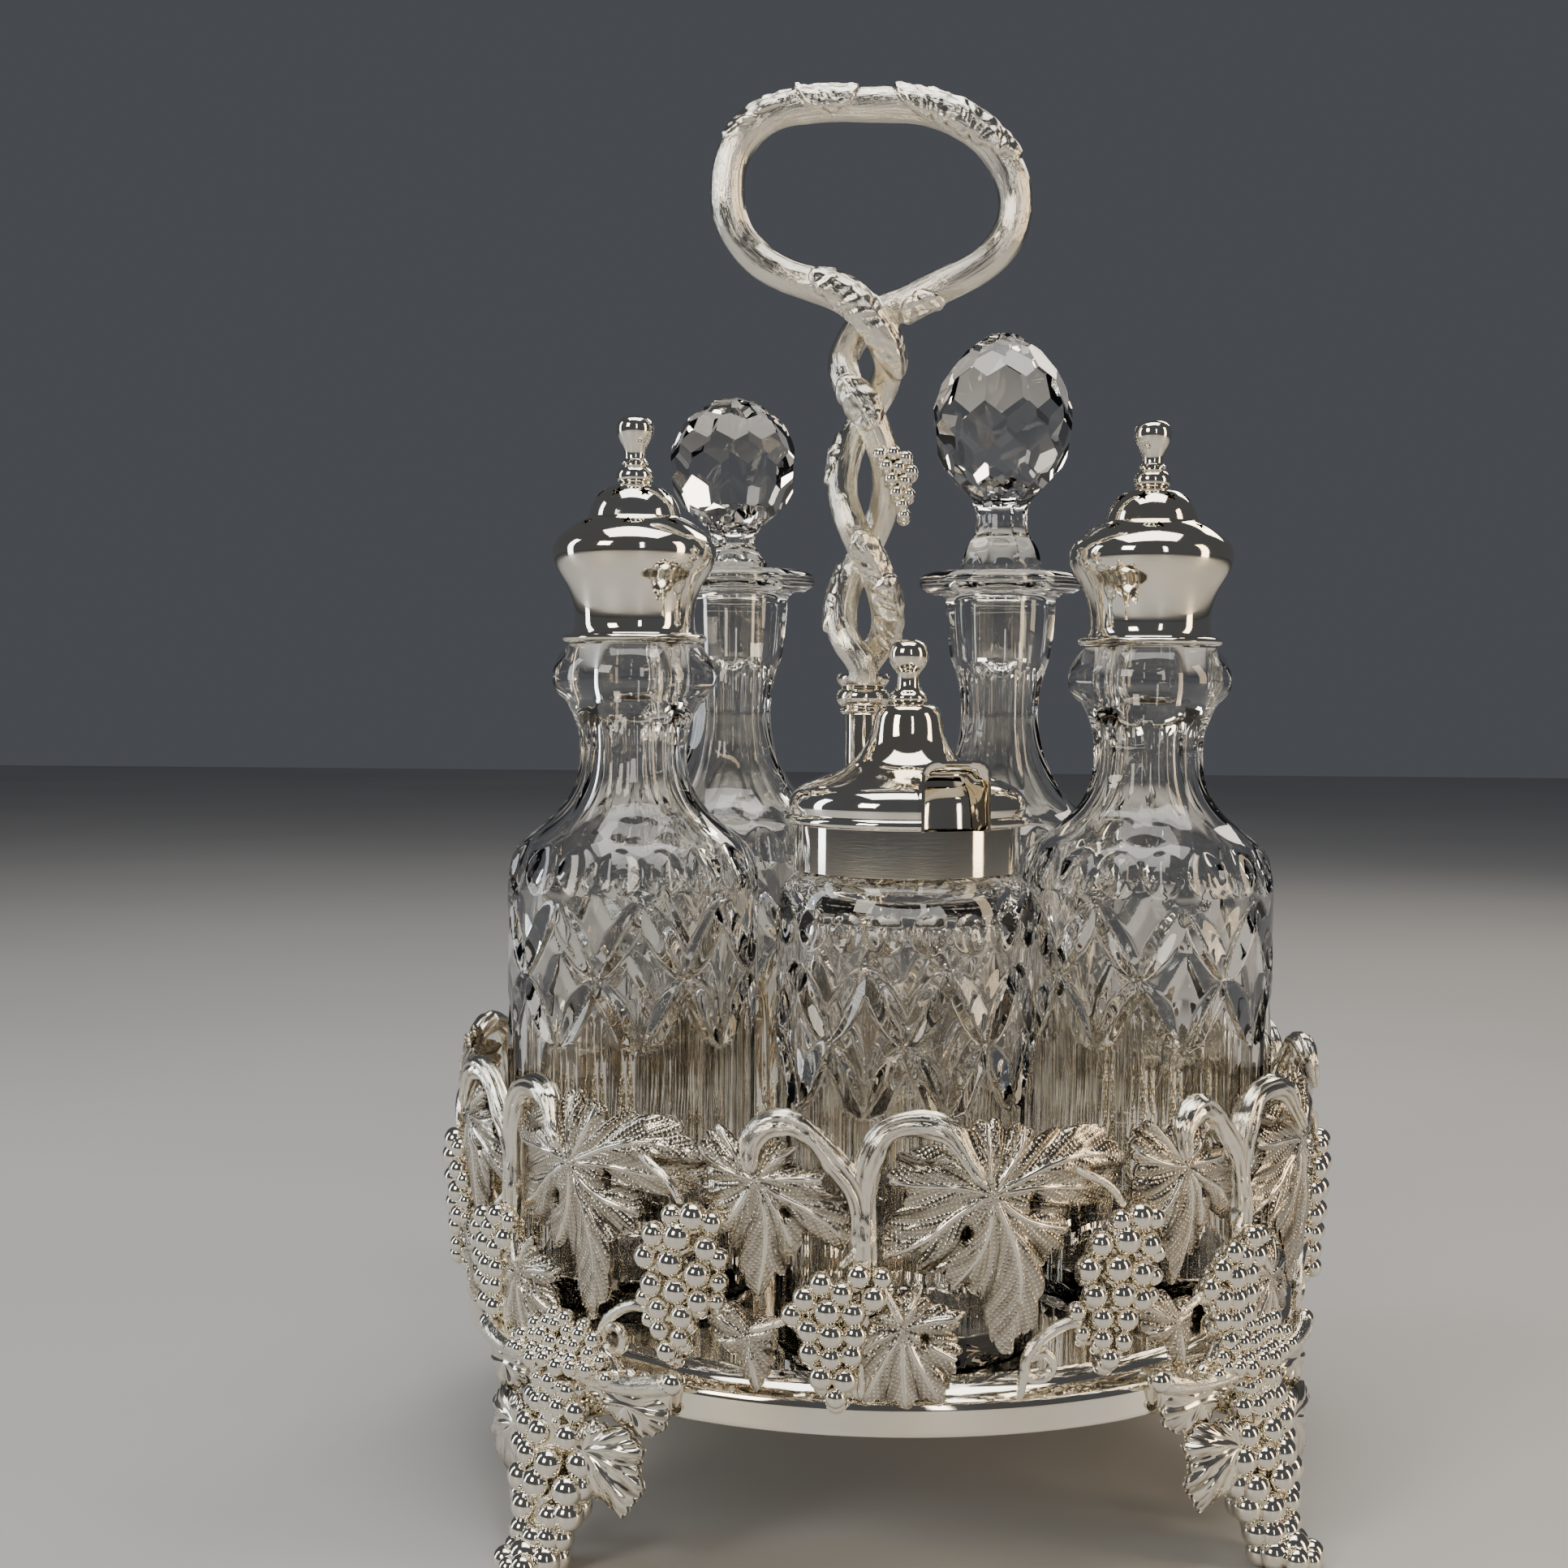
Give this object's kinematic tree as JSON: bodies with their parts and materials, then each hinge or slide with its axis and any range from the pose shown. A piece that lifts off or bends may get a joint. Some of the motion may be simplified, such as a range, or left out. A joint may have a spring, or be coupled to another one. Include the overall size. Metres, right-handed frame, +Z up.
{
  "type": "cruet set",
  "caption": "Round footed cruet stand with a vine gallery and twisted branch handle, holding cut glass casters, stoppered cruets and a lidded mustard pot.",
  "frame": {"origin": "on the table, under the middle of the tray", "axes": "+Z up, -Y towards the front where the mustard pot stands, +X to the right"},
  "size_m": [0.1657, 0.168, 0.2607],
  "materials": {
    "silver": "polished silver plate",
    "cast_silver": "cast silver plate, darkened in its recesses",
    "glass": "cut and polished clear glass",
    "cork": "cork",
    "steel": "plain turned steel"
  },
  "bodies": {
    "root": {"base_plate": "silver", "base_rim": "silver", "gallery_vine": "cast_silver", "gallery_leaves": "cast_silver", "gallery_grapes": "cast_silver", "gallery_tendrils": "cast_silver", "foot_front_left": "cast_silver", "foot_front_right": "cast_silver", "foot_back_right": "cast_silver", "foot_back_left": "cast_silver", "handle": "cast_silver", "handle_socket": "silver", "stem_tube": "silver", "handle_rod": "steel", "base_washer": "steel", "base_nut": "steel"},
    "left_caster": {"left_caster_glass": "glass"},
    "left_caster_cap": {"left_caster_cap": "silver", "left_caster_cork": "cork", "left_caster_finial": "silver"},
    "right_caster": {"right_caster_glass": "glass"},
    "right_caster_cap": {"right_caster_cap": "silver", "right_caster_cork": "cork", "right_caster_finial": "silver"},
    "left_cruet": {"left_cruet_glass": "glass"},
    "left_stopper": {"left_stopper": "glass"},
    "right_cruet": {"right_cruet_glass": "glass"},
    "right_stopper": {"right_stopper": "glass"},
    "mustard_pot": {"mustard_glass": "glass", "mustard_collar": "silver", "mustard_hinge_pin": "silver"},
    "mustard_lid": {"mustard_lid": "silver", "mustard_lid_finial": "silver"}
  },
  "joints": [
    {"name": "left_caster_lift", "type": "slide", "parent": "root", "child": "left_caster", "axis": [0, 0, 1], "range_m": [0, 0.055]},
    {"name": "right_caster_lift", "type": "slide", "parent": "root", "child": "right_caster", "axis": [0, 0, 1], "range_m": [0, 0.055]},
    {"name": "left_cruet_lift", "type": "slide", "parent": "root", "child": "left_cruet", "axis": [0, 0, 1], "range_m": [0, 0.055]},
    {"name": "right_cruet_lift", "type": "slide", "parent": "root", "child": "right_cruet", "axis": [0, 0, 1], "range_m": [0, 0.055]},
    {"name": "mustard_pot_lift", "type": "slide", "parent": "root", "child": "mustard_pot", "axis": [0, 0, 1], "range_m": [0, 0.055]},
    {"name": "left_cap_lift", "type": "slide", "parent": "left_caster", "child": "left_caster_cap", "axis": [0, 0, 1], "range_m": [0, 0.02]},
    {"name": "right_cap_lift", "type": "slide", "parent": "right_caster", "child": "right_caster_cap", "axis": [0, 0, 1], "range_m": [0, 0.02]},
    {"name": "left_stopper_lift", "type": "slide", "parent": "left_cruet", "child": "left_stopper", "axis": [0, 0, 1], "range_m": [0, 0.025]},
    {"name": "right_stopper_lift", "type": "slide", "parent": "right_cruet", "child": "right_stopper", "axis": [0, 0, 1], "range_m": [0, 0.025]},
    {"name": "mustard_lid_hinge", "type": "hinge", "parent": "mustard_pot", "child": "mustard_lid", "pos_m": [-0.00618, -0.02965, 0.1236], "axis": [-0.9063, -0.4226, 0], "range_deg": [0, 100]}
  ]
}
